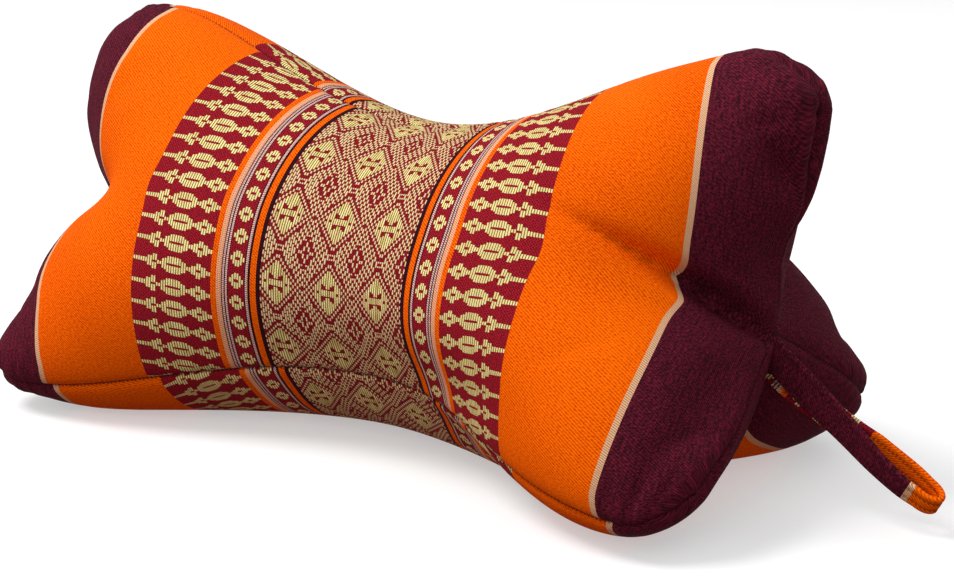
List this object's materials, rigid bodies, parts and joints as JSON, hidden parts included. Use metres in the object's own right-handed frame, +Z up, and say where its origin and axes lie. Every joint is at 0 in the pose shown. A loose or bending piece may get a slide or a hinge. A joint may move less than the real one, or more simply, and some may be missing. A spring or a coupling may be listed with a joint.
{
  "type": "bone-shaped meditation cushion with a carrying loop",
  "caption": "Firmly filled bone-shaped cushion of sewn panels with lobed ends, a narrow waist and a doubled carrying loop at one end.",
  "frame": {"origin": "on the surface it rests on, under the middle of the whole object's box", "axes": "+X along the cushion towards the end with the loop, +Z up through the upper lobes, -Y the front panel's side"},
  "size_m": [0.3948, 0.185, 0.1671],
  "materials": {
    "cover": "woven cotton with orange, aubergine and gold patterned stripes",
    "band": "doubled strip of the cover's cotton"
  },
  "bodies": {
    "root": {"cushion": "cover", "carry_loop": "band"}
  },
  "joints": []
}
